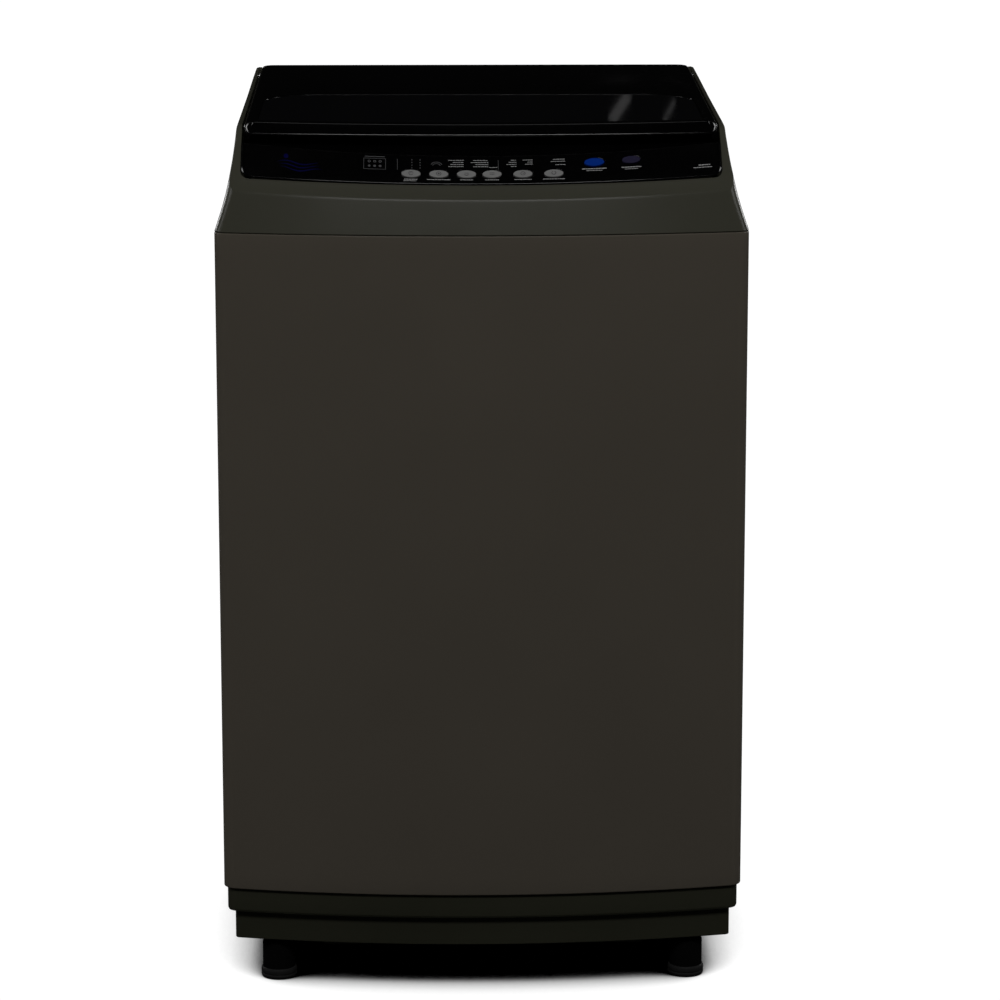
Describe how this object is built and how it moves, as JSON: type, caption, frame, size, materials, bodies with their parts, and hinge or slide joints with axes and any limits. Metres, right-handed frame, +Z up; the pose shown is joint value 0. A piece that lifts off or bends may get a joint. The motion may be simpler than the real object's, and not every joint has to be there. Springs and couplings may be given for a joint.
{
  "type": "top load washing machine",
  "caption": "Tall top load washing machine with a bowed steel cabinet, sloping black control panel, smoked glass lid, hanging tub, spin basket and pulsator.",
  "frame": {"origin": "on the floor, in the middle of the bottom of the machine's bounding box", "axes": "+Z up, +X to the right of someone facing the front, +Y to the back"},
  "size_m": [0.59, 0.6099, 0.9997],
  "materials": {
    "body_paint": "satin grey paint on steel sheet",
    "cover_grey": "satin grey paint on moulded plastic",
    "base_black": "fine grained dark moulded plastic",
    "gloss_black": "high gloss black",
    "smoked_glass": "dark tinted toughened glass",
    "button_silver": "satin silver paint",
    "button_blue": "blue gloss",
    "button_violet": "violet grey gloss",
    "foot_rubber": "moulded rubber and plastic",
    "zinc_steel": "zinc plated sheet",
    "stainless": "brushed stainless drum",
    "spring_steel": "drawn spring wire",
    "tub_plastic": "natural white polypropylene",
    "inner_grey": "light grey moulded plastic",
    "pulsator_grey": "light grey gloss plastic",
    "motor_iron": "black painted iron",
    "gear_alloy": "die cast alloy",
    "belt_rubber": "ribbed rubber",
    "seal_rubber": "smooth rubber",
    "hose_grey": "grey corrugated hose",
    "board_green": "solder mask",
    "led_lens": "frosted light pipe",
    "screw_steel": "zinc plated screw",
    "valve_white": "white moulded plastic"
  },
  "bodies": {
    "cabinet": {"cabinet_shell": "body_paint", "rear_panel": "zinc_steel", "base_plinth": "base_black", "bottom_cover": "base_black", "rear_feet": "foot_rubber", "top_cover": "cover_grey", "control_panel": "gloss_black", "control_board": "board_green", "indicator_leds": "led_lens", "inlet_valve": "valve_white", "inlet_hose": "seal_rubber", "dispenser_housing": "inner_grey", "drain_outlet": "inner_grey", "drain_hose": "hose_grey", "cord_gland": "seal_rubber", "pressure_sensor": "inner_grey", "lid_switch": "valve_white", "cover_screws": "screw_steel", "hinge_bushes": "inner_grey", "hanger_brackets": "zinc_steel", "suspension_rods": "zinc_steel", "suspension_springs": "spring_steel"},
    "tub": {"outer_tub": "tub_plastic", "tub_ring": "inner_grey", "mounting_plate": "zinc_steel", "gear_case": "gear_alloy", "bearings": "zinc_steel", "shaft_seal": "seal_rubber", "motor_body": "motor_iron", "drive_belt": "belt_rubber", "drain_valve": "valve_white", "drain_actuator": "valve_white"},
    "basket": {"spin_basket": "stainless", "balance_ring": "inner_grey", "basket_hub": "gear_alloy", "spin_shaft": "zinc_steel", "lint_filter": "inner_grey"},
    "pulsator": {"pulsator": "pulsator_grey", "pulsator_shaft": "zinc_steel", "pulsator_screw": "screw_steel", "drive_pulley": "gear_alloy"},
    "rotor": {"motor_shaft": "zinc_steel", "motor_pulley": "gear_alloy"},
    "lid": {"lid_frame": "gloss_black", "lid_glass": "smoked_glass", "lid_pins": "zinc_steel", "lid_buffers": "seal_rubber"},
    "drawer": {"detergent_drawer": "inner_grey"},
    "foot_left": {"front_foot_left": "foot_rubber"},
    "foot_right": {"front_foot_right": "foot_rubber"},
    "drain_pull": {"drain_plunger": "valve_white"},
    "clutch": {"clutch_lever": "zinc_steel"},
    "key_1": {"button_1": "button_silver"},
    "key_2": {"button_2": "button_silver"},
    "key_3": {"button_3": "button_silver"},
    "key_4": {"button_4": "button_silver"},
    "key_5": {"button_5": "button_silver"},
    "key_6": {"button_6": "button_silver"},
    "key_blue": {"button_blue": "button_blue"},
    "key_violet": {"button_violet": "button_violet"}
  },
  "joints": [
    {"name": "tub_bounce", "type": "slide", "parent": "cabinet", "child": "tub", "axis": [0, 0, 1], "range_m": [-0.02, 0.012], "stiffness_N_per_m": 6000, "springref_m": 0.057, "deforming": ["suspension_springs"]},
    {"name": "basket_spin", "type": "hinge", "parent": "tub", "child": "basket", "pos_m": [0, -0.0075, 0.3], "axis": [0, 0, 1], "continuous": true},
    {"name": "pulsator_spin", "type": "hinge", "parent": "tub", "child": "pulsator", "pos_m": [0, -0.0075, 0.3], "axis": [0, 0, 1], "continuous": true},
    {"name": "motor_spin", "type": "hinge", "parent": "tub", "child": "rotor", "pos_m": [0.165, -0.0075, 0.17], "axis": [0, 0, 1], "continuous": true},
    {"name": "lid_hinge", "type": "hinge", "parent": "cabinet", "child": "lid", "pos_m": [0, 0.278, 0.986], "axis": [-1, 0, 0], "range_deg": [0, 85]},
    {"name": "drawer_slide", "type": "slide", "parent": "cabinet", "child": "drawer", "axis": [0, -1, 0], "range_m": [0, 0.045]},
    {"name": "foot_left_level", "type": "slide", "parent": "cabinet", "child": "foot_left", "axis": [0, 0, -1], "range_m": [0, 0.012]},
    {"name": "foot_right_level", "type": "slide", "parent": "cabinet", "child": "foot_right", "axis": [0, 0, -1], "range_m": [0, 0.012]},
    {"name": "drain_pull_slide", "type": "slide", "parent": "tub", "child": "drain_pull", "axis": [-1, 0, 0], "range_m": [0, 0.012], "stiffness_N_per_m": 1500},
    {"name": "clutch_pivot", "type": "hinge", "parent": "tub", "child": "clutch", "pos_m": [-0.068, 0.0305, 0.197], "axis": [0, 0, 1], "range_deg": [0, 17.5]},
    {"name": "key_1_press", "type": "slide", "parent": "cabinet", "child": "key_1", "axis": [0.0359, 0.6981, -0.7151], "range_m": [0, 0.0012], "stiffness_N_per_m": 1200},
    {"name": "key_2_press", "type": "slide", "parent": "cabinet", "child": "key_2", "axis": [0.0217, 0.6944, -0.7192], "range_m": [0, 0.0012], "stiffness_N_per_m": 1200},
    {"name": "key_3_press", "type": "slide", "parent": "cabinet", "child": "key_3", "axis": [0.0077, 0.6925, -0.7214], "range_m": [0, 0.0012], "stiffness_N_per_m": 1200},
    {"name": "key_4_press", "type": "slide", "parent": "cabinet", "child": "key_4", "axis": [-0.005, 0.6923, -0.7215], "range_m": [0, 0.0012], "stiffness_N_per_m": 1200},
    {"name": "key_5_press", "type": "slide", "parent": "cabinet", "child": "key_5", "axis": [-0.0205, 0.6942, -0.7195], "range_m": [0, 0.0012], "stiffness_N_per_m": 1200},
    {"name": "key_6_press", "type": "slide", "parent": "cabinet", "child": "key_6", "axis": [-0.0364, 0.6983, -0.7149], "range_m": [0, 0.0012], "stiffness_N_per_m": 1200},
    {"name": "key_blue_press", "type": "slide", "parent": "cabinet", "child": "key_blue", "axis": [-0.0582, 0.7068, -0.705], "range_m": [0, 0.0012], "stiffness_N_per_m": 1200},
    {"name": "key_violet_press", "type": "slide", "parent": "cabinet", "child": "key_violet", "axis": [-0.0792, 0.7172, -0.6923], "range_m": [0, 0.0012], "stiffness_N_per_m": 1200}
  ],
  "couplings": [
    {"joint": "motor_spin", "follows": "pulsator_spin", "ratio": 3.75},
    {"joint": "clutch_pivot", "follows": "drain_pull_slide", "rad_per_m": 25}
  ]
}
